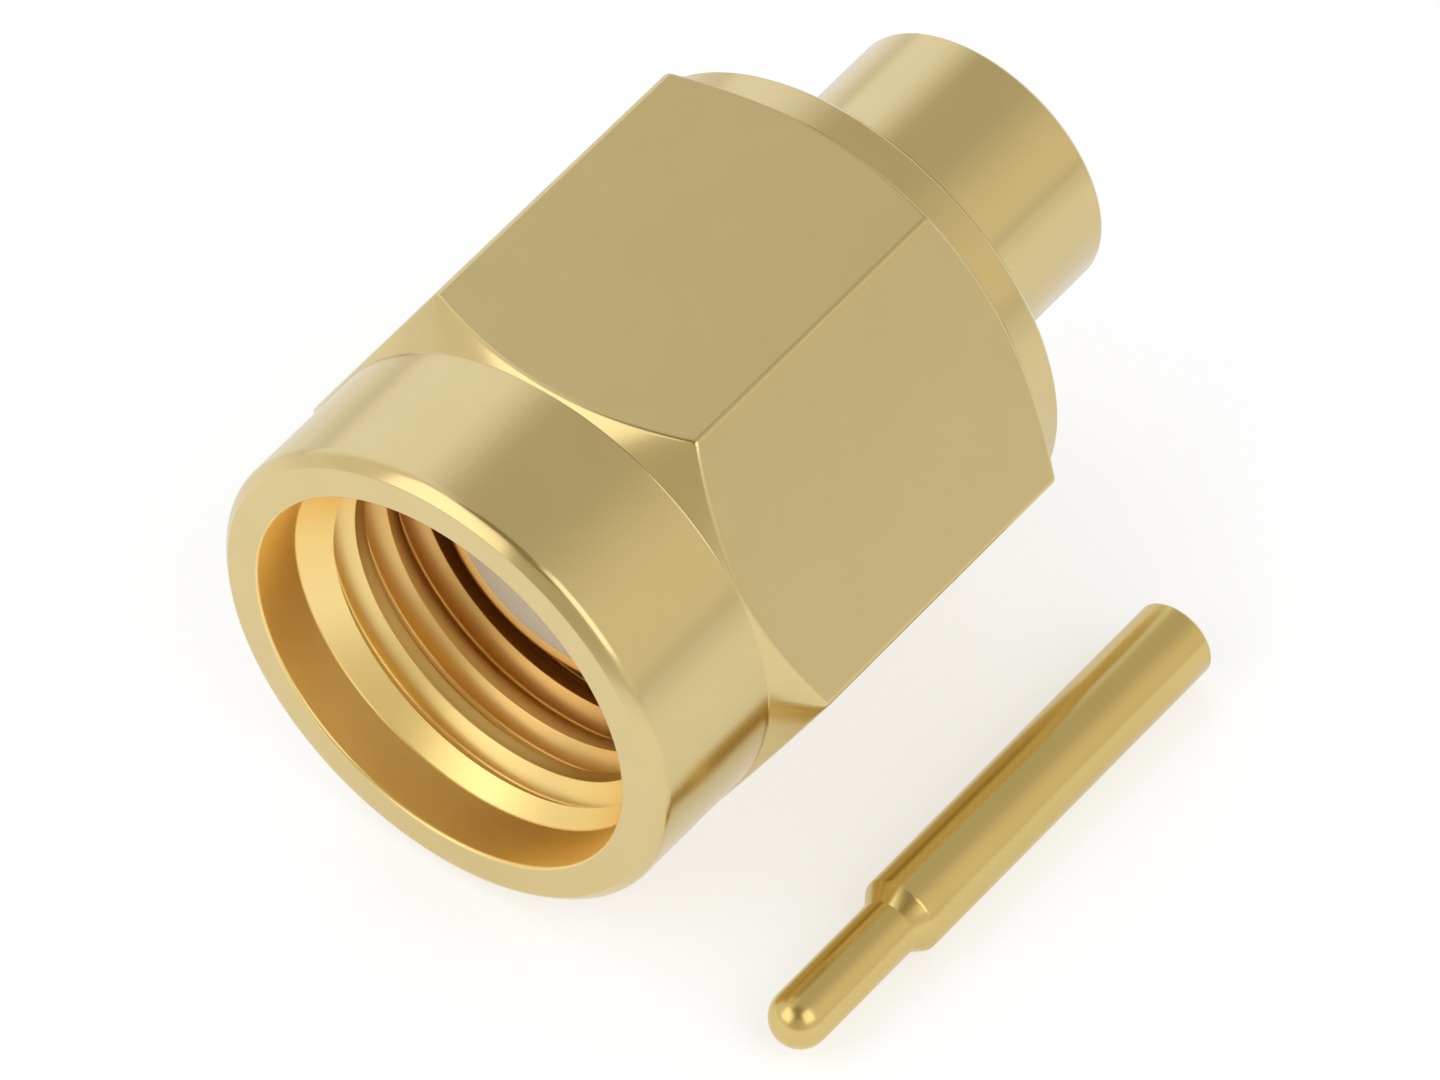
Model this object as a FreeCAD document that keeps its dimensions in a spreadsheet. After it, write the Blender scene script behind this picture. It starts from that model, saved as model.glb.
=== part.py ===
import FreeCAD, Part
import os

import Sketcher

# A straight coaxial plug for semi-rigid cable, with its centre contact still loose beside it.
# The plug's axis is Y. Its mating end faces -Y and the cable leaves at +Y. The origin is on the
# axis, in the plane of the outer contact's front face, which is the plug's reference plane.
# The plug lies on one flat of its hexagonal nut, so the surface that it lies on is half the
# width across flats below the axis. All sizes are in millimetres and degrees.

SIZES = [
    # The coupling nut, turned from hexagonal bar
    ("nut_across_flats", "8.0"),
    ("nut_length", "9.4"),
    ("nut_reach", "2.9"),              # how far the nut stands ahead of the reference plane
    ("front_collar_diameter", "7.9"),
    ("front_collar_length", "2.5"),
    ("front_corner_angle", "37"),      # of the turned cone on the hexagon's corners, to the face
    ("rear_collar_diameter", "7.9"),
    ("rear_collar_length", "0.63"),
    ("rear_corner_angle", "32"),
    ("rim_chamfer", "0.18"),
    ("rear_edge_chamfer", "0.12"),
    ("mouth_diameter", "6.5"),
    ("mouth_depth", "0.87"),
    ("thread_minor_diameter", "5.68"),
    ("thread_full_depth", "4.6"),      # from the nut's front face to the end of the thread
    ("relief_diameter", "6.5"),
    ("relief_width", "0.6"),
    # The body, one turned piece: outer contact, shoulder, flange and solder sleeve
    ("spigot_diameter", "4.6"),
    ("spigot_length", "2.5"),
    ("spigot_chamfer", "0.08"),
    ("gasket_seat_diameter", "4.4"),   # where the spigot's tapered root meets the shoulder
    ("flange_diameter", "5.4"),
    ("flange_length", "4.8"),
    ("flange_chamfer", "0.12"),
    ("sleeve_diameter", "4.5"),
    ("sleeve_length", "2.5"),
    ("sleeve_chamfer", "0.08"),
    ("dielectric_bore_diameter", "4.1"),
    ("cable_bore_diameter", "3.65"),
    ("cable_bore_chamfer", "0.12"),
    ("nut_running_clearance", "0.05"),  # radial, between the flange and the nut's rear bore
    # The split ring that keeps the nut on the body
    ("ring_thickness", "0.45"),
    ("ring_place", "4.6"),             # of the ring's middle, behind the reference plane
    ("ring_outer_diameter", "5.9"),
    ("ring_width", "0.4"),             # across the ring's section
    ("ring_gap", "1.35"),              # enough for the ring to close up to the nut's rear bore
    ("ring_float", "0.15"),            # how far ring and nut slide along the body, each way
    ("ring_end_clearance", "0.02"),
    ("ring_side_clearance", "0.03"),
    ("ring_floor_clearance", "0.03"),  # under the closed ring, in the body's groove
    ("ring_roof_clearance", "0.07"),   # over the ring, in the nut's groove
    # The gasket on the shoulder
    ("gasket_thickness", "0.5"),
    ("gasket_diameter", "5.3"),
    ("gasket_rounding", "0.12"),
    ("gasket_clearance", "0.03"),
    ("gasket_end_clearance", "0.05"),
    # The insulator
    ("insulator_length", "6.6"),
    ("insulator_clearance", "0.01"),
    # The centre contact
    ("contact_barrel_diameter", "1.27"),
    ("contact_length", "9.4"),
    ("contact_tip_diameter", "0.92"),
    ("contact_tip_length", "2.55"),
    ("contact_tip_rounding", "0.42"),
    ("contact_shoulder_length", "0.25"),
    ("contact_rear_chamfer", "0.04"),
    ("contact_clearance", "0.015"),    # radial, of the barrel in the insulator
    ("solder_cup_diameter", "0.96"),
    ("solder_cup_depth", "2.4"),
    ("solder_cup_point_angle", "59"),  # of the drill point's flank, to the axis
    ("contact_offset", "6.04"),        # of the loose contact's axis from the plug's
    ("contact_tip_ahead", "2.87"),     # of the loose contact's tip from the reference plane
]

# Places and radii that follow from the sizes. Stations are Y values from the reference plane.
PLACES = [
    ("nut_front", "=-sizes.nut_reach"),
    ("nut_rear", "=nut_front + sizes.nut_length"),
    ("nut_apothem", "=sizes.nut_across_flats / 2"),
    ("nut_half_side", "=nut_apothem * tan(30)"),
    ("nut_corner", "=nut_apothem / cos(30)"),
    ("lathe_clear", "=nut_corner + nut_half_side"),
    ("front_collar_radius", "=sizes.front_collar_diameter / 2"),
    ("front_collar_end", "=nut_front + sizes.front_collar_length"),
    ("front_cone_end",
     "=front_collar_end + (lathe_clear - front_collar_radius) * tan(sizes.front_corner_angle)"),
    ("rim_radius", "=front_collar_radius - sizes.rim_chamfer"),
    ("rim_chamfer_end", "=nut_front + sizes.rim_chamfer"),
    ("rear_collar_radius", "=sizes.rear_collar_diameter / 2"),
    ("rear_collar_start", "=nut_rear - sizes.rear_collar_length"),
    ("rear_cone_start",
     "=rear_collar_start - (lathe_clear - rear_collar_radius) * tan(sizes.rear_corner_angle)"),
    ("rear_edge_radius", "=rear_collar_radius - sizes.rear_edge_chamfer"),
    ("rear_edge_start", "=nut_rear - sizes.rear_edge_chamfer"),
    ("mouth_radius", "=sizes.mouth_diameter / 2"),
    ("mouth_floor", "=nut_front + sizes.mouth_depth"),
    ("thread_radius", "=sizes.thread_minor_diameter / 2"),
    ("thread_lead_end", "=mouth_floor + mouth_radius - thread_radius"),
    ("thread_end", "=nut_front + sizes.thread_full_depth"),
    ("relief_radius", "=sizes.relief_diameter / 2"),
    ("relief_end", "=thread_end + sizes.relief_width"),
    ("spigot_radius", "=sizes.spigot_diameter / 2"),
    ("spigot_edge", "=spigot_radius - sizes.spigot_chamfer"),
    ("spigot_chamfer_end", "=sizes.spigot_chamfer"),
    ("shoulder", "=sizes.spigot_length"),
    ("flange_radius", "=sizes.flange_diameter / 2"),
    ("flange_edge", "=flange_radius - sizes.flange_chamfer"),
    ("flange_front_edge", "=shoulder + sizes.flange_chamfer"),
    ("flange_rear", "=shoulder + sizes.flange_length"),
    ("flange_rear_edge", "=flange_rear - sizes.flange_chamfer"),
    ("nut_bore_radius", "=flange_radius + sizes.nut_running_clearance"),
    ("sleeve_radius", "=sizes.sleeve_diameter / 2"),
    ("sleeve_edge", "=sleeve_radius - sizes.sleeve_chamfer"),
    ("sleeve_end", "=flange_rear + sizes.sleeve_length"),
    ("sleeve_end_edge", "=sleeve_end - sizes.sleeve_chamfer"),
    ("dielectric_bore", "=sizes.dielectric_bore_diameter / 2"),
    ("bore_step", "=sizes.insulator_length"),
    ("cable_bore", "=sizes.cable_bore_diameter / 2"),
    ("cable_bore_lip", "=cable_bore + sizes.cable_bore_chamfer"),
    ("cable_bore_lip_start", "=sleeve_end - sizes.cable_bore_chamfer"),
    ("ring_outer", "=sizes.ring_outer_diameter / 2"),
    ("ring_inner", "=ring_outer - sizes.ring_width"),
    ("ring_front", "=sizes.ring_place - sizes.ring_thickness / 2"),
    ("ring_rear", "=ring_front + sizes.ring_thickness"),
    ("body_groove_front", "=ring_front - sizes.ring_float - sizes.ring_end_clearance"),
    ("body_groove_rear", "=ring_rear + sizes.ring_float + sizes.ring_end_clearance"),
    ("body_groove_radius",
     "=nut_bore_radius - sizes.ring_width - sizes.ring_floor_clearance"),
    ("nut_groove_front", "=ring_front - sizes.ring_side_clearance"),
    ("nut_groove_rear", "=ring_rear + sizes.ring_side_clearance"),
    ("nut_groove_radius", "=ring_outer + sizes.ring_roof_clearance"),
    ("ring_gap_half", "=sizes.ring_gap / 2"),
    ("gasket_front", "=shoulder - sizes.gasket_thickness"),
    ("gasket_seat", "=sizes.gasket_seat_diameter / 2"),
    ("gasket_seat_front", "=gasket_front - sizes.gasket_end_clearance"),
    ("gasket_inner", "=spigot_radius + sizes.gasket_clearance"),
    ("gasket_outer", "=sizes.gasket_diameter / 2"),
    ("insulator_radius", "=dielectric_bore - sizes.insulator_clearance"),
    ("contact_barrel", "=sizes.contact_barrel_diameter / 2"),
    ("contact_bore", "=contact_barrel + sizes.contact_clearance"),
    ("contact_tip", "=sizes.contact_tip_diameter / 2"),
    ("contact_tip_root", "=sizes.contact_tip_length"),
    ("contact_shoulder_end", "=contact_tip_root + sizes.contact_shoulder_length"),
    ("contact_rear", "=sizes.contact_length"),
    ("contact_rear_edge", "=contact_rear - sizes.contact_rear_chamfer"),
    ("contact_rear_radius", "=contact_barrel - sizes.contact_rear_chamfer"),
    ("solder_cup", "=sizes.solder_cup_diameter / 2"),
    ("solder_cup_floor", "=contact_rear - sizes.solder_cup_depth"),
    ("solder_cup_point", "=solder_cup_floor - solder_cup / tan(sizes.solder_cup_point_angle)"),
    ("contact_start", "=-sizes.contact_tip_ahead"),
    ("contact_height", "=contact_barrel - nut_apothem"),
]

ON_AXIS = "axis"             # a profile point that lies on the axis of revolution
ON_REFERENCE = "reference"   # a profile point that lies in the reference plane

document = FreeCAD.newDocument("coaxial_plug")
names = document.addObject("Spreadsheet::Sheet", "sizes")
for row, (alias, number) in enumerate(SIZES, start=1):
    names.set("A%d" % row, alias.replace("_", " "))
    names.set("B%d" % row, number)
    names.setAlias("B%d" % row, alias)
document.recompute()

places = document.addObject("Spreadsheet::Sheet", "places")
for row, (alias, formula) in enumerate(PLACES, start=1):
    places.set("A%d" % row, alias.replace("_", " "))
    places.setAlias("B%d" % row, alias)
for row, (alias, formula) in enumerate(PLACES, start=1):
    places.set("B%d" % row, formula)
document.recompute()


def new_body(label):
    """A body for one piece of the plug."""
    body = document.addObject("PartDesign::Body", label)
    body.Label = label
    return body


def new_sketch(body, name, role):
    """A sketch on one of the body's own origin planes."""
    plane = [item for item in body.Origin.OriginFeatures if item.Role == role][0]
    sketch = body.newObject("Sketcher::SketchObject", name)
    sketch.AttachmentSupport = [(plane, "")]
    sketch.MapMode = "FlatFace"
    return sketch


def value_of(name):
    """The number behind a coordinate's name, which may carry a minus sign."""
    if name in (ON_AXIS, ON_REFERENCE):
        return 0.0
    if name.startswith("-"):
        return -places.get(name[1:])
    return places.get(name)


def expression_of(name):
    """The same name as an expression on the sheet of places."""
    if name.startswith("-"):
        return "-places.%s" % name[1:]
    return "places.%s" % name


def add_polygon(sketch, corners):
    """A closed outline whose corners' coordinates are tied to the sheet, one by one."""
    first = sketch.GeometryCount
    points = [FreeCAD.Vector(value_of(across), value_of(along), 0) for across, along in corners]
    for index, point in enumerate(points):
        following = points[(index + 1) % len(points)]
        sketch.addGeometry(Part.LineSegment(point, following), False)
    last = first + len(points) - 1
    for index in range(first, last + 1):
        following = index + 1 if index < last else first
        sketch.addConstraint(Sketcher.Constraint("Coincident", index, 2, following, 1))
    for index, (across, along) in enumerate(corners, start=first):
        if across == ON_AXIS:
            sketch.addConstraint(Sketcher.Constraint("PointOnObject", index, 1, -2))
        else:
            tie = sketch.addConstraint(
                Sketcher.Constraint("DistanceX", -1, 1, index, 1, value_of(across)))
            sketch.setExpression("Constraints[%d]" % tie, expression_of(across))
        if along == ON_REFERENCE:
            sketch.addConstraint(Sketcher.Constraint("PointOnObject", index, 1, -1))
        else:
            tie = sketch.addConstraint(
                Sketcher.Constraint("DistanceY", -1, 1, index, 1, value_of(along)))
            sketch.setExpression("Constraints[%d]" % tie, expression_of(along))


def add_circle(sketch, radius):
    """A circle about the sketch's origin, with its radius tied to the sheet."""
    circle = Part.Circle(FreeCAD.Vector(0, 0, 0), FreeCAD.Vector(0, 0, 1), value_of(radius))
    index = sketch.addGeometry(circle, False)
    sketch.addConstraint(Sketcher.Constraint("Coincident", index, 3, -1, 1))
    tie = sketch.addConstraint(Sketcher.Constraint("Radius", index, value_of(radius)))
    sketch.setExpression("Constraints[%d]" % tie, expression_of(radius))


def turn(body, kind, name, outlines):
    """A full turn of outlines about the Y axis, added to the body or cut from it."""
    sketch = new_sketch(body, name + "_profile", "XY_Plane")
    for corners in outlines:
        add_polygon(sketch, corners)
    feature = body.newObject("PartDesign::" + kind, name)
    feature.Profile = sketch
    feature.ReferenceAxis = (sketch, ["V_Axis"])
    feature.Angle = 360.0
    document.recompute()
    return feature


def washer(body, name, inner, outer, start, length):
    """A flat ring square to the Y axis: two circles padded towards +Y from a station."""
    sketch = new_sketch(body, name + "_profile", "XZ_Plane")
    if start != ON_REFERENCE:
        sketch.setExpression("AttachmentOffset.Base.z", "-places.%s" % start)
    add_circle(sketch, outer)
    add_circle(sketch, inner)
    pad = body.newObject("PartDesign::Pad", name)
    pad.Profile = sketch
    pad.Reversed = True
    pad.setExpression("Length", "sizes.%s" % length)
    document.recompute()
    return pad


def rim_edges(feature, radius, station):
    """The names of a feature's circular edges with this radius at this station."""
    near = 1e-4
    found = []
    for number, edge in enumerate(feature.Shape.Edges, start=1):
        if not isinstance(edge.Curve, Part.Circle):
            continue
        same_size = abs(edge.Curve.Radius - radius) < near
        if same_size and abs(edge.Curve.Center.y - station) < near:
            found.append("Edge%d" % number)
    return found


def round_edges(body, name, base, edges, size):
    """A fillet on named edges of the body's last feature, with its radius on the sheet."""
    fillet = body.newObject("PartDesign::Fillet", name)
    fillet.Base = (base, edges)
    fillet.setExpression("Radius", "sizes.%s" % size)
    document.recompute()
    return fillet


# The coupling nut: a length of hexagonal bar, turned down to a collar at each end, with cones
# that take the hexagon's corners back, and bored out for the thread and for the body.
nut = new_body("coupling_nut")
bar_sketch = new_sketch(nut, "bar_section", "XZ_Plane")
bar_sketch.setExpression("AttachmentOffset.Base.z", "-places.nut_front")
add_polygon(bar_sketch, [
    ("nut_corner", ON_REFERENCE),
    ("nut_half_side", "nut_apothem"),
    ("-nut_half_side", "nut_apothem"),
    ("-nut_corner", ON_REFERENCE),
    ("-nut_half_side", "-nut_apothem"),
    ("nut_half_side", "-nut_apothem"),
])
bar = nut.newObject("PartDesign::Pad", "bar")
bar.Profile = bar_sketch
bar.Reversed = True
bar.setExpression("Length", "sizes.nut_length")
document.recompute()
turn(nut, "Groove", "collars", [
    [
        ("rim_radius", "nut_front"),
        ("lathe_clear", "nut_front"),
        ("lathe_clear", "front_cone_end"),
        ("front_collar_radius", "front_collar_end"),
        ("front_collar_radius", "rim_chamfer_end"),
    ],
    [
        ("rear_edge_radius", "nut_rear"),
        ("rear_collar_radius", "rear_edge_start"),
        ("rear_collar_radius", "rear_collar_start"),
        ("lathe_clear", "rear_cone_start"),
        ("lathe_clear", "nut_rear"),
    ],
])
turn(nut, "Groove", "bores", [[
    (ON_AXIS, "nut_front"),
    ("mouth_radius", "nut_front"),
    ("mouth_radius", "mouth_floor"),
    ("thread_radius", "thread_lead_end"),
    ("thread_radius", "thread_end"),
    ("relief_radius", "thread_end"),
    ("relief_radius", "relief_end"),
    ("nut_bore_radius", "relief_end"),
    ("nut_bore_radius", "nut_groove_front"),
    ("nut_groove_radius", "nut_groove_front"),
    ("nut_groove_radius", "nut_groove_rear"),
    ("nut_bore_radius", "nut_groove_rear"),
    ("nut_bore_radius", "nut_rear"),
    (ON_AXIS, "nut_rear"),
]])

# The body: the thin spigot is the outer contact, the shoulder behind it carries the gasket,
# the flange runs in the nut and holds the ring's groove, and the sleeve takes the cable.
plug_body = new_body("connector_body")
turn(plug_body, "Revolution", "turned_body", [[
    ("dielectric_bore", ON_REFERENCE),
    ("spigot_edge", ON_REFERENCE),
    ("spigot_radius", "spigot_chamfer_end"),
    ("spigot_radius", "gasket_seat_front"),
    ("gasket_seat", "shoulder"),
    ("flange_edge", "shoulder"),
    ("flange_radius", "flange_front_edge"),
    ("flange_radius", "body_groove_front"),
    ("body_groove_radius", "body_groove_front"),
    ("body_groove_radius", "body_groove_rear"),
    ("flange_radius", "body_groove_rear"),
    ("flange_radius", "flange_rear_edge"),
    ("flange_edge", "flange_rear"),
    ("sleeve_radius", "flange_rear"),
    ("sleeve_radius", "sleeve_end_edge"),
    ("sleeve_edge", "sleeve_end"),
    ("cable_bore_lip", "sleeve_end"),
    ("cable_bore", "cable_bore_lip_start"),
    ("cable_bore", "bore_step"),
    ("dielectric_bore", "bore_step"),
]])

# The insulator: a plain tube, flush with the outer contact, that stops against the bore's step.
insulator = new_body("insulator")
washer(insulator, "tube", "contact_bore", "insulator_radius", ON_REFERENCE, "insulator_length")

# The retaining ring: a flat ring, split so that it closes up into the body's groove, passes
# through the nut's rear bore and springs open in the nut's own groove.
ring = new_body("retaining_ring")
washer(ring, "flat_ring", "ring_inner", "ring_outer", "ring_front", "ring_thickness")
gap_sketch = new_sketch(ring, "gap_outline", "XZ_Plane")
gap_sketch.setExpression("AttachmentOffset.Base.z", "-places.ring_front")
add_polygon(gap_sketch, [
    ("-ring_gap_half", ON_REFERENCE),
    ("ring_gap_half", ON_REFERENCE),
    ("ring_gap_half", "nut_groove_radius"),
    ("-ring_gap_half", "nut_groove_radius"),
])
gap = ring.newObject("PartDesign::Pocket", "gap")
gap.Profile = gap_sketch
gap.setExpression("Length", "sizes.ring_thickness")
document.recompute()

# The gasket: a soft ring round the spigot's tapered root, against the shoulder, that the end of
# the mating thread closes on and squeezes into the taper.
gasket = new_body("gasket")
soft_ring = washer(gasket, "soft_ring", "gasket_inner", "gasket_outer", "gasket_front",
                   "gasket_thickness")
gasket_edges = rim_edges(soft_ring, places.get("gasket_outer"), places.get("gasket_front"))
round_edges(gasket, "gasket_lip", soft_ring, gasket_edges, "gasket_rounding")

# The centre contact: a turned pin with a round nose, a short cone up to its barrel, and a
# drilled cup at the rear for the cable's inner conductor. It lies loose beside the plug,
# parallel to it and on the same surface.
contact = new_body("center_contact")
pin = turn(contact, "Revolution", "turned_pin", [[
    (ON_AXIS, ON_REFERENCE),
    ("contact_tip", ON_REFERENCE),
    ("contact_tip", "contact_tip_root"),
    ("contact_barrel", "contact_shoulder_end"),
    ("contact_barrel", "contact_rear_edge"),
    ("contact_rear_radius", "contact_rear"),
    ("solder_cup", "contact_rear"),
    ("solder_cup", "solder_cup_floor"),
    (ON_AXIS, "solder_cup_point"),
]])
nose_edges = rim_edges(pin, places.get("contact_tip"), 0.0)
round_edges(contact, "nose", pin, nose_edges, "contact_tip_rounding")
contact.setExpression("Placement.Base.x", "sizes.contact_offset")
contact.setExpression("Placement.Base.y", "places.contact_start")
contact.setExpression("Placement.Base.z", "places.contact_height")
document.recompute()

pieces = [nut, plug_body, insulator, ring, gasket, contact]
for item in document.Objects:
    if "Invalid" in item.State or "Error" in item.State:
        raise RuntimeError("%s was not computed: %s" % (item.Name, item.State))
    if item.TypeId == "Sketcher::SketchObject" and item.solve() != 0:
        raise RuntimeError("%s has no solution" % item.Name)
for piece in pieces:
    shape = piece.Shape
    if shape.isNull() or not shape.isValid() or len(shape.Solids) != 1:
        raise RuntimeError("%s is not one valid solid" % piece.Label)

os.makedirs("parts", exist_ok=True)
for piece in pieces:
    piece.Shape.exportStep("parts/%s.step" % piece.Label)
    box = piece.Shape.BoundBox
    print("%-15s volume %8.3f  x %6.2f %6.2f  y %6.2f %6.2f  z %6.2f %6.2f" % (
        piece.Label, piece.Shape.Volume, box.XMin, box.XMax, box.YMin, box.YMax, box.ZMin,
        box.ZMax))
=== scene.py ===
import math

import bpy
from mathutils import Matrix, Vector


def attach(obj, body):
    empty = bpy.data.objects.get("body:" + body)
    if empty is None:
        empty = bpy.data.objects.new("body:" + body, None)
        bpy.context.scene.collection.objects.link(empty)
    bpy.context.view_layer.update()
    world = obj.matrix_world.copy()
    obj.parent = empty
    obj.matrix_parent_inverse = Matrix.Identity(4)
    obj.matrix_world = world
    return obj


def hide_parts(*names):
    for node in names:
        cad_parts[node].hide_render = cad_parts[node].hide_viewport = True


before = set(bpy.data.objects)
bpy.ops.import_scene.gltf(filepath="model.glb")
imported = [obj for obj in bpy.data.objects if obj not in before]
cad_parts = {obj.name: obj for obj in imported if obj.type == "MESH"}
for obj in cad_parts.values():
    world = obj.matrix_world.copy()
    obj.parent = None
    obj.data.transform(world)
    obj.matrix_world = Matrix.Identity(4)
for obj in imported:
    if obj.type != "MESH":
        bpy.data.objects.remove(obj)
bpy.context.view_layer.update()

# The connector body is one piece turned from brass bar: the outer contact at the front, the
# shoulder and flange that the nut runs on, and the sleeve that the cable is soldered into.
# It is plated with gold all over, inside too, and the plating rounds every edge a little.

MM = 0.001
SAME_POINT = 0.001 * MM


def rounded(outline, edge):
    """The outline with its corners broken by arcs, of this radius or of the corner's own third
    number. Corners of less than 25 degrees and those on the axis stay as they are."""
    slight_turn, arc_step, share_of_side = math.radians(25), math.radians(20), 0.45
    points = []
    for index, corner in enumerate(outline):
        here = Vector(corner[:2])
        back = Vector(outline[index - 1][:2]) - here
        onward = Vector(outline[(index + 1) % len(outline)][:2]) - here
        turn = math.pi - back.angle(onward)
        radius = corner[2] if len(corner) > 2 else edge
        if turn < slight_turn or corner[0] == 0 or radius == 0:
            points.append(here)
            continue
        reach = min(radius * math.tan(turn / 2), share_of_side * back.length,
                    share_of_side * onward.length)
        radius = reach / math.tan(turn / 2)
        centre = here + (back.normalized() + onward.normalized()).normalized() * (
            radius / math.cos(turn / 2))
        first = here + back.normalized() * reach - centre
        last = here + onward.normalized() * reach - centre
        steps = math.ceil(turn / arc_step)
        for step in range(steps + 1):
            part = turn * step / steps
            points.append(centre + (first * math.sin(turn - part) + last * math.sin(part))
                          / math.sin(turn))
    return points


def draw(points):
    """A new object in edit mode, with a string of vertices through these points."""
    bpy.ops.object.select_all(action="DESELECT")
    bpy.ops.mesh.primitive_plane_add(size=MM)
    bpy.ops.object.mode_set(mode="EDIT")
    bpy.ops.mesh.select_all(action="SELECT")
    bpy.ops.mesh.merge(type="CENTER")
    bpy.ops.transform.translate(value=points[0])
    for before, point in zip(points, points[1:]):
        bpy.ops.mesh.extrude_vertices_move(TRANSFORM_OT_translate={"value": point - before})
    return bpy.context.object


def turned(name, outline, steps=144, edge=0.03):
    """A turned piece: an outline of (radius, station) corners in mm is drawn and spun about Y.
    The outline is closed first, unless it starts and ends on the axis."""
    outline = rounded(outline, edge)
    piece = draw([Vector((0, station, radius)) * MM for radius, station in outline])
    piece.name = piece.data.name = name
    bpy.ops.mesh.select_all(action="SELECT")
    if outline[0][0] > 0:
        bpy.ops.mesh.edge_face_add()
        bpy.ops.mesh.delete(type="ONLY_FACE")
        bpy.ops.mesh.select_all(action="SELECT")
    bpy.ops.mesh.spin(steps=steps, angle=2 * math.pi, center=(0, 0, 0), axis=(0, 1, 0))
    bpy.ops.mesh.select_all(action="SELECT")
    bpy.ops.mesh.remove_doubles(threshold=SAME_POINT)
    bpy.ops.mesh.normals_make_consistent(inside=False)
    bpy.ops.object.mode_set(mode="OBJECT")
    return piece


def apply(piece, kind, **settings):
    """One modifier, set up and applied."""
    bpy.ops.object.select_all(action="DESELECT")
    piece.select_set(True)
    bpy.context.view_layer.objects.active = piece
    modifier = piece.modifiers.new(kind.lower(), kind)
    for setting, value in settings.items():
        setattr(modifier, setting, value)
    bpy.ops.object.modifier_apply(modifier=modifier.name)


def smooth(piece):
    """Smooth shading that keeps wide faces flat up to their rounded edges."""
    bpy.ops.object.select_all(action="DESELECT")
    piece.select_set(True)
    bpy.context.view_layer.objects.active = piece
    bpy.ops.object.shade_smooth_by_angle(angle=math.radians(32))
    apply(piece, "WEIGHTED_NORMAL", mode="FACE_AREA", weight=50, keep_sharp=True)


body_outline = [
    # The outer contact, whose front face falls inwards, and its tapered root under the gasket.
    (2.05, 0.07), (2.22, 0.0, 0.06), (2.30, 0.04), (2.30, 1.95), (2.20, 2.50),
    # The shoulder, with the groove for the retaining ring.
    (2.58, 2.50), (2.70, 2.62), (2.70, 4.205), (2.32, 4.205), (2.32, 4.995),
    (2.70, 4.995), (2.70, 7.18), (2.58, 7.30),
    # The sleeve, then back through its bore and the wider one of the insulator.
    (2.25, 7.30), (2.25, 9.72), (2.17, 9.80), (1.945, 9.80), (1.825, 9.68),
    (1.825, 6.60), (2.05, 6.60),
]
body = turned("body_turned", body_outline)
smooth(body)


class Wire:
    """An output in a node tree. Sums, differences, products and powers add Math nodes."""

    def __init__(self, tree, socket=None):
        self.tree, self.socket = tree, socket

    def node(self, kind, settings=None, sockets=None, output=0):
        """Adds a node: its settings first, then the values or wires of its sockets."""
        made = self.tree.nodes.new(kind)
        for setting, value in (settings or {}).items():
            setattr(made, setting, value)
        for socket, value in (sockets or {}).items():
            if isinstance(value, Wire):
                self.tree.links.new(value.socket, made.inputs[socket])
            else:
                made.inputs[socket].default_value = value
        return Wire(self.tree, made.outputs[output] if made.outputs else None)

    def math(self, operation, *values):
        return self.node("ShaderNodeMath", {"operation": operation}, dict(enumerate(values)))

    def __add__(self, other):
        return self.math("ADD", self, other)

    def __radd__(self, other):
        return self.math("ADD", other, self)

    def __sub__(self, other):
        return self.math("SUBTRACT", self, other)

    def __rsub__(self, other):
        return self.math("SUBTRACT", other, self)

    def __mul__(self, other):
        return self.math("MULTIPLY", self, other)

    def __rmul__(self, other):
        return self.math("MULTIPLY", other, self)

    def __pow__(self, other):
        return self.math("POWER", self, other)

    def __rpow__(self, other):
        return self.math("POWER", other, self)

    def blend(self, low, high):
        """A colour between two colours or colour wires, where this wire says."""
        low, high = (end if isinstance(end, Wire) else (*end, 1) for end in (low, high))
        return self.node("ShaderNodeMix", {"data_type": "RGBA"},
                         {"Factor": self, "A": low, "B": high}, output="Result")

    def rise(self, low, high):
        """0 below low, 1 above high and smooth between them."""
        return self.node("ShaderNodeMapRange", {"interpolation_type": "SMOOTHSTEP"},
                         {"Value": self, "From Min": low, "From Max": high})

    def coordinates(self):
        """The x, y and z of a place."""
        split = self.node("ShaderNodeSeparateXYZ", sockets={"Vector": self})
        return [Wire(self.tree, socket) for socket in split.socket.node.outputs]


def new_material(name):
    """An empty material and a wire to build it with."""
    material = bpy.data.materials.new(name)
    material.use_nodes = True
    material.node_tree.nodes.clear()
    return material, Wire(material.node_tree)


GOLD = (0.70, 0.56, 0.27)
# Painted light: the bores' brighter, warmer gold stands for light bouncing round inside them, and
# the browner gold stands for the shade deep in the thread.
BORE_GLOW_GOLD = (0.98, 0.75, 0.31)
BORE_SHADE_GOLD = (0.80, 0.49, 0.17)


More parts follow.
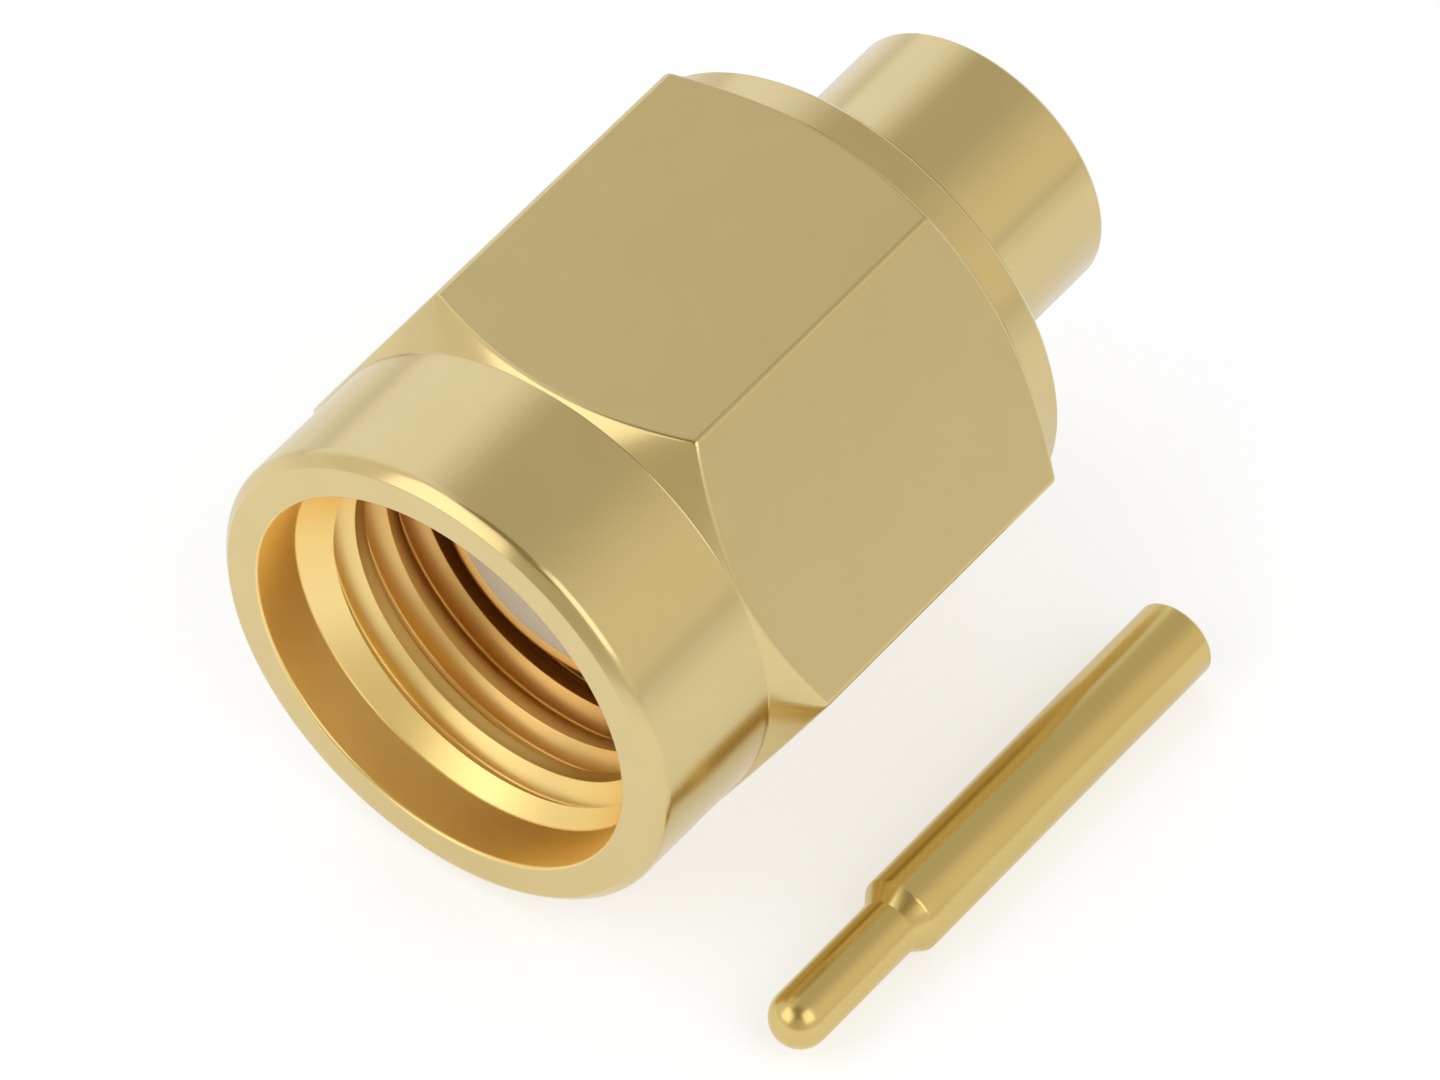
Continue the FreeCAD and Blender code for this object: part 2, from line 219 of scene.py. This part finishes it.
def plated(name, colour, roughness, axis=(0, 0, 0), inside=None):
    """Gold plating over turned brass, with the tool's fine marks round the axis. Where
    inside(radius, along) is 1 it is duller, with painted light making it a brighter, deeper
    yellow there, and painted shade making it browner deep in the nut."""
    material, start = new_material(name)
    place = start.node("ShaderNodeTexCoord", output="Object")
    place = start.node("ShaderNodeMapping", sockets={
        "Vector": place, "Location": [-value * MM for value in axis]})
    across, along, height = place.coordinates()
    radius = (across * across + height * height) ** 0.5
    lines = start.node("ShaderNodeCombineXYZ", sockets={"X": radius, "Y": along})
    fine = start.node("ShaderNodeTexNoise", sockets={
        "Vector": lines, "Scale": 26000.0, "Detail": 3.0, "Roughness": 0.6})
    broad = start.node("ShaderNodeTexNoise", sockets={
        "Vector": place, "Scale": 900.0, "Detail": 4.0, "Roughness": 0.55})
    speck = start.node("ShaderNodeTexNoise", sockets={
        "Vector": place, "Scale": 14000.0, "Detail": 2.0, "Roughness": 0.5})
    deeper = [channel * share for channel, share in zip(colour, (0.985, 0.98, 0.965))]
    shade = broad.rise(0.3, 0.7).blend(deeper, colour)
    dull = roughness + 0.05 * (fine - 0.5) + 0.04 * (broad - 0.5)
    if inside:
        bore_painted_and_dull = inside(radius, along)
        # Painted light and shade in the bores: a brighter gold for bounced light, turning to a
        # browner gold as painted shade deep in the nut.
        painted_deep_shade = along.rise(-1.5 * MM, 0.1 * MM) * (1 - along.rise(3 * MM, 6 * MM))
        shade = bore_painted_and_dull.blend(shade, painted_deep_shade.blend(BORE_GLOW_GOLD, BORE_SHADE_GOLD))
        dull = dull + 0.19 * bore_painted_and_dull
    mark_depth = 0.0015 * MM
    bump = start.node("ShaderNodeBump", sockets={
        "Strength": 0.16, "Distance": mark_depth, "Height": fine})
    bump = start.node("ShaderNodeBump", sockets={
        "Strength": 0.12, "Distance": mark_depth, "Height": speck, "Normal": bump})
    shader = start.node("ShaderNodeBsdfPrincipled", sockets={
        "Base Color": shade, "Metallic": 1.0, "Roughness": dull, "Normal": bump})
    start.node("ShaderNodeOutputMaterial", sockets={"Surface": shader})
    return material


# Where the body is duller and gets the painted bore light and painted shade.
def in_body(radius, along):
    """1 on all of the body but what lies behind the gasket and outside the sleeve's bore."""
    return 1 - along.rise(2.4 * MM, 2.6 * MM) * radius.rise(1.9 * MM, 1.98 * MM)


def seat(piece, material, node, rides_on):
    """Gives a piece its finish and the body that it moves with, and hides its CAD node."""
    piece.data.materials.clear()
    piece.data.materials.append(material)
    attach(piece, rides_on)
    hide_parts(node)


seat(body, plated("body_plating", GOLD, 0.17, inside=in_body), "connector_body", "plug")

# The insulator is a plain tube of white fluoropolymer, cut flush with the outer contact. It is
# waxy and lets a little light in, and its bore takes the centre contact when the cable is fitted.
insulator = turned("insulator_tube", [(0.65, 0.0), (2.04, 0.0), (2.04, 6.60), (0.65, 6.60)])
smooth(insulator)
waxy, start = new_material("fluoropolymer")
place = start.node("ShaderNodeTexCoord", output="Object")
cloud = start.node("ShaderNodeTexNoise", sockets={
    "Vector": place, "Scale": 1500.0, "Detail": 3.0})
pores = start.node("ShaderNodeTexNoise", sockets={
    "Vector": place, "Scale": 16000.0, "Detail": 3.0})
shader = start.node("ShaderNodeBsdfPrincipled", sockets={
    "Base Color": cloud.blend((0.92, 0.86, 0.76), (0.96, 0.92, 0.84)),
    "Roughness": 0.42 + 0.16 * (pores - 0.5), "Subsurface Weight": 0.25,
    "Subsurface Radius": (0.9, 0.8, 0.7), "Subsurface Scale": 0.4 * MM,
    "Normal": start.node("ShaderNodeBump", sockets={
        "Strength": 0.4, "Distance": 0.004 * MM, "Height": pores})})
start.node("ShaderNodeOutputMaterial", sockets={"Surface": shader})
seat(insulator, waxy, "insulator", "plug")

# The gasket is a moulded ring of red silicone rubber, slipped over the outer contact against the
# shoulder. The end of the mating thread squeezes it, so that the pair is sealed.
gasket = turned("gasket_ring", [
    (2.33, 2.0), (2.53, 2.0), (2.65, 2.12), (2.65, 2.5), (2.33, 2.5)], edge=0.05)
smooth(gasket)
silicone, start = new_material("silicone")
place = start.node("ShaderNodeTexCoord", output="Object")
dust = start.node("ShaderNodeTexNoise", sockets={
    "Vector": place, "Scale": 9000.0, "Detail": 3.0})
shader = start.node("ShaderNodeBsdfPrincipled", sockets={
    "Base Color": dust.blend((0.30, 0.045, 0.025), (0.42, 0.08, 0.045)),
    "Roughness": 0.55 + 0.2 * (dust - 0.5), "Specular IOR Level": 0.4,
    "Normal": start.node("ShaderNodeBump", sockets={
        "Strength": 0.5, "Distance": 0.006 * MM, "Height": dust})})
start.node("ShaderNodeOutputMaterial", sockets={"Surface": shader})
seat(gasket, silicone, "gasket", "plug")

# The retaining ring is stamped from flat phosphor bronze and split, so that it closes up to pass
# through the nut and springs open in the nut's groove. It is bare metal, a little dulled.
ring = turned("retaining_split_ring", [
    (2.55, 4.375), (2.95, 4.375), (2.95, 4.825), (2.55, 4.825)], edge=0)
GAP = 1.35
bpy.ops.object.select_all(action="DESELECT")
bpy.ops.mesh.primitive_cube_add(size=MM, location=(0, 4.6 * MM, 2.75 * MM), scale=(GAP, 1, 1))
saw = bpy.context.object
apply(ring, "BOOLEAN", operation="DIFFERENCE", object=saw, solver="EXACT")
bpy.data.objects.remove(saw)
apply(ring, "BEVEL", width=0.03 * MM, segments=2, limit_method="ANGLE",
      angle_limit=math.radians(25), miter_outer="MITER_ARC")
smooth(ring)
bronze, start = new_material("phosphor_bronze")
place = start.node("ShaderNodeTexCoord", output="Object")
stain = start.node("ShaderNodeTexNoise", sockets={
    "Vector": place, "Scale": 2200.0, "Detail": 4.0})
scuff = start.node("ShaderNodeTexNoise", sockets={
    "Vector": place, "Scale": 15000.0, "Detail": 3.0})
shader = start.node("ShaderNodeBsdfPrincipled", sockets={
    "Base Color": stain.blend((0.42, 0.22, 0.12), (0.58, 0.34, 0.18)), "Metallic": 1.0,
    "Roughness": 0.34 + 0.25 * (stain - 0.5),
    "Normal": start.node("ShaderNodeBump", sockets={
        "Strength": 0.4, "Distance": 0.003 * MM, "Height": scuff})})
start.node("ShaderNodeOutputMaterial", sockets={"Surface": shader})
seat(ring, bronze, "retaining_ring", "ring")

# The coupling nut is hexagonal brass bar, turned to a collar and a cone at each end and bored
# right through in steps, then tapped with a right-hand thread of 36 turns an inch. Its edges
# are hardly broken, and the gold plating covers the thread as well.
nut_blank = [
    # The rim and the front collar, then the cones that run into the hexagon and out of it.
    (3.25, -2.90, 0.06), (3.77, -2.90, 0.05), (3.95, -2.72, 0.19), (3.95, -0.40),
    (5.0, 0.391, 0), (5.0, 5.214, 0), (3.95, 5.87),
    # The rear collar, and back through the rear bore with the groove for the retaining ring.
    (3.95, 6.38, 0.06), (3.83, 6.50, 0.06), (2.75, 6.50),
    (2.75, 4.855), (3.02, 4.855), (3.02, 4.345), (2.75, 4.345),
    # The relief behind the thread, the thread's wall, and the lead cone into the mouth.
    (2.75, 2.30), (3.25, 2.30), (3.25, 1.70), (2.70, 1.70), (2.70, -1.48), (3.25, -2.03, 0.07),
]
nut = turned("nut_threaded", nut_blank, steps=180)
ACROSS_FLATS = 8.0
bpy.ops.object.select_all(action="DESELECT")
bpy.ops.mesh.primitive_cylinder_add(
    vertices=6, radius=ACROSS_FLATS / 2 / math.cos(math.pi / 6) * MM, depth=12 * MM,
    location=(0, 2 * MM, 0), rotation=(math.pi / 2, math.pi / 6, 0))
bar = bpy.context.object
apply(bar, "BEVEL", width=0.06 * MM, segments=3, limit_method="ANGLE",
      angle_limit=math.radians(50))
apply(nut, "BOOLEAN", operation="INTERSECT", object=bar, solver="EXACT")
bpy.data.objects.remove(bar)
apply(nut, "BEVEL", width=0.055 * MM, segments=3, limit_method="ANGLE",
      angle_limit=math.radians(28), use_clamp_overlap=False)

# The tap is one tooth of the thread, drawn as (radius, station) corners, run along as a screw
# and cut off square at the thread's two ends.
PITCH = 0.7056
TAP_START, THREAD_START, THREAD_END = -3.0, -2.3, 2.0
tooth = [
    (2.84, 0.0), (2.84, 0.0981), (2.8433, 0.1106), (2.8525, 0.1198), (3.154, 0.2938),
    (3.173, 0.3128), (3.18, 0.3388), (3.18, 0.3668), (3.173, 0.3928), (3.154, 0.4118),
    (2.8525, 0.5858), (2.8433, 0.5950), (2.84, 0.6075), (2.84, PITCH),
]
tap = draw([Vector((0, station + TAP_START, radius)) * MM for radius, station in tooth])
bpy.ops.object.mode_set(mode="OBJECT")
apply(tap, "SCREW", axis="Y", angle=2 * math.pi, screw_offset=PITCH * MM, iterations=9,
      steps=120, render_steps=120, use_merge_vertices=False)
bpy.ops.object.mode_set(mode="EDIT")
bpy.ops.mesh.select_all(action="SELECT")
bpy.ops.mesh.remove_doubles(threshold=SAME_POINT)
for station, side in ((THREAD_START, "clear_inner"), (THREAD_END, "clear_outer")):
    bpy.ops.mesh.select_all(action="SELECT")
    bpy.ops.mesh.bisect(plane_co=(0, station * MM, 0), plane_no=(0, 1, 0), use_fill=True,
                        **{side: True})
bpy.ops.mesh.select_all(action="SELECT")
bpy.ops.mesh.normals_make_consistent(inside=False)
bpy.ops.object.mode_set(mode="OBJECT")
apply(nut, "BOOLEAN", operation="DIFFERENCE", object=tap, solver="EXACT")
bpy.data.objects.remove(tap)
smooth(nut)


# Where the nut is duller and gets the painted bore light and painted shade.
def in_nut(radius, along):
    """1 on the nut's bores, up to the edge of its rear face."""
    return (1 - radius.rise(3.25 * MM, 3.3 * MM)) * (1 - along.rise(6.3 * MM, 6.45 * MM))


seat(nut, plated("nut_plating", GOLD, 0.18, inside=in_nut), "coupling_nut", "nut")

# The centre contact is turned from beryllium copper and plated with gold. It is supplied loose,
# because its drilled cup is soldered to the cable's inner conductor before it is pushed in.
CONTACT_AXIS = (6.04, 0, -3.365)
contact = turned("contact_pin", [
    # The round nose and the tip.
    (0.0, -2.87), (0.06, -2.87), (0.12, -2.859), (0.21, -2.824), (0.30, -2.764), (0.37, -2.69),
    (0.425, -2.595), (0.452, -2.50), (0.46, -2.42), (0.46, -0.32, 0),
    # The barrel, and the cup that is drilled into its end.
    (0.635, -0.07, 0.09), (0.635, 6.47), (0.575, 6.53), (0.48, 6.53), (0.48, 4.13),
    (0.0, 3.8416),
], steps=96, edge=0.04)
smooth(contact)
bpy.ops.object.mode_set(mode="EDIT")
bpy.ops.mesh.select_all(action="SELECT")
bpy.ops.transform.translate(value=[value * MM for value in CONTACT_AXIS])
bpy.ops.object.mode_set(mode="OBJECT")
seat(contact, plated("contact_plating", (0.70, 0.535, 0.205), 0.24, axis=CONTACT_AXIS),
     "center_contact", "plug")

# The floor is a plain white table, which isn't part of the plug. The camera and shiny metal see
# it bright enough to read as white paper, though metal sees it duller far off and behind the
# plug. It keeps the shadows under the plug.
bpy.ops.object.select_all(action="DESELECT")
bpy.ops.mesh.primitive_circle_add(vertices=96, radius=1.2, fill_type="NGON",
                                  location=(0, 0, -ACROSS_FLATS / 2 * MM))
floor = bpy.context.object
floor.name = "floor"
table, start = new_material("white_table")
across, along = start.node("ShaderNodeTexCoord", output="Object").coordinates()[:2]
far = ((across * across + along * along) ** 0.5).rise(15 * MM, 60 * MM)
mirrored = 0.95 - 0.12 * along.rise(-6 * MM, 4 * MM) - 0.26 * far
seen = start.node("ShaderNodeLightPath", output="Is Camera Ray")
for kind in ("Is Glossy Ray", "Is Transmission Ray"):
    seen = seen + mirrored * start.node("ShaderNodeLightPath", output=kind)
shader = start.node("ShaderNodeBsdfPrincipled", sockets={
    "Base Color": (0.61, 0.635, 0.705, 1), "Roughness": 0.7, "Specular IOR Level": 0.2,
    "Emission Color": seen.blend((0, 0, 0), (0.55, 0.55, 0.55)), "Emission Strength": 1.0})
start.node("ShaderNodeOutputMaterial", sockets={"Surface": shader})
floor.data.materials.append(table)

# The studio is a pale tent, cooler on the left and a little duller just over the table. A grey
# strip over the top comes down in front, with the camera's dark opening in it, and a soft lamp
# stands on each side of that strip.
world = bpy.data.worlds.new("tent")
bpy.context.scene.world = world
world.use_nodes = True
world.node_tree.nodes.clear()
start = Wire(world.node_tree)
looking = start.node("ShaderNodeTexCoord", output="Generated")
sideways, frontways, upwards, to_camera = (
    start.node("ShaderNodeVectorMath", {"operation": "DOT_PRODUCT"}, {0: looking, 1: way},
               output="Value")
    for way in ((0.966, 0.259, 0.0), (0.259, -0.966, 0.0), (0.0, 0.0, 1.0),
                (0.122, -0.454, 0.883)))
walls = sideways.rise(-0.4, 0.4).blend((1.02, 1.06, 1.18), (0.86, 0.81, 0.70))
walls = frontways.rise(-0.5, 0.2).blend(walls, (0.85, 0.82, 0.76))
strip = frontways.rise(0.2, 0.75).blend((0.58, 0.56, 0.49), (0.58, 0.55, 0.45))
over_strip = (sideways.rise(-0.5, -0.14) * (1 - sideways.rise(0.3, 0.9))
              * upwards.rise(-0.05, 0.2))
skirt = sideways.rise(-0.4, 0.4).blend((0.95, 0.94, 0.94), (0.66, 0.63, 0.56))
tent = upwards.rise(0.0, 0.12).blend(over_strip.blend(skirt, strip),
                                     over_strip.blend(walls, strip))
tent = to_camera.rise(0.88, 0.95).blend(tent, (0.30, 0.27, 0.17))
tent = start.node("ShaderNodeLightPath", output="Is Camera Ray").blend(tent, (1, 1, 1))
background = start.node("ShaderNodeBackground", sockets={"Color": tent, "Strength": 1.0})
start.node("ShaderNodeOutputWorld", sockets={"Surface": background})
LAMP_DISTANCE = 0.15


def soft_lamp(name, azimuth, elevation, width, height, radiance):
    """A softbox that faces the plug from LAMP_DISTANCE metres, this much brighter than the tent
    behind it."""
    azimuth, elevation = math.radians(azimuth), math.radians(elevation)
    data = bpy.data.lights.new(name, "AREA")
    data.shape = "RECTANGLE"
    data.size, data.size_y = width, height
    data.energy = radiance * math.pi * width * height
    lamp = bpy.data.objects.new(name, data)
    bpy.context.scene.collection.objects.link(lamp)
    lamp.location = LAMP_DISTANCE * Vector((
        math.sin(azimuth) * math.cos(elevation), math.cos(azimuth) * math.cos(elevation),
        math.sin(elevation)))
    lamp.rotation_euler = (-lamp.location).to_track_quat("-Z", "Y").to_euler()
    lamp.visible_camera = False


soft_lamp("left_softbox", -157, 36, 0.115, 0.11, 0.85)
soft_lamp("right_softbox", 102, 42, 0.10, 0.11, 0.9)

# The camera looks down at the mouth from the front and right, from far off, so the plug's axis
# runs up the picture to the right with hardly any perspective. It aims a little to the left of
# the middle of the part and below it, and these lengths are in mm.
AZIMUTH, ELEVATION, DISTANCE = math.radians(37.269), math.radians(48.354), 241.06
AIM_LEFT, AIM_DOWN = 1.2656, 0.6373
back = Vector((math.sin(AZIMUTH) * math.cos(ELEVATION),
               -math.cos(AZIMUTH) * math.cos(ELEVATION), math.sin(ELEVATION)))
right = Vector((math.cos(AZIMUTH), math.sin(AZIMUTH), 0))
up = back.cross(right)
middle = Vector((2.0, 3.1, 0.0)) * MM
stand = middle + back * DISTANCE * MM
aim = middle - right * AIM_LEFT * MM - up * AIM_DOWN * MM
back = (stand - aim).normalized()
right = (right - right.dot(back) * back).normalized()
up = back.cross(right)
lens = bpy.data.cameras.new("camera")
lens.lens, lens.sensor_width = 424.65, 36.0
lens.clip_start, lens.clip_end = 0.01, 10.0
camera = bpy.data.objects.new("camera", lens)
bpy.context.scene.collection.objects.link(camera)
turn = Matrix((right, up, back)).transposed().to_4x4()
camera.matrix_world = Matrix.Translation(stand) @ turn
bpy.context.scene.camera = camera
bpy.context.scene.view_settings.view_transform = "Standard"
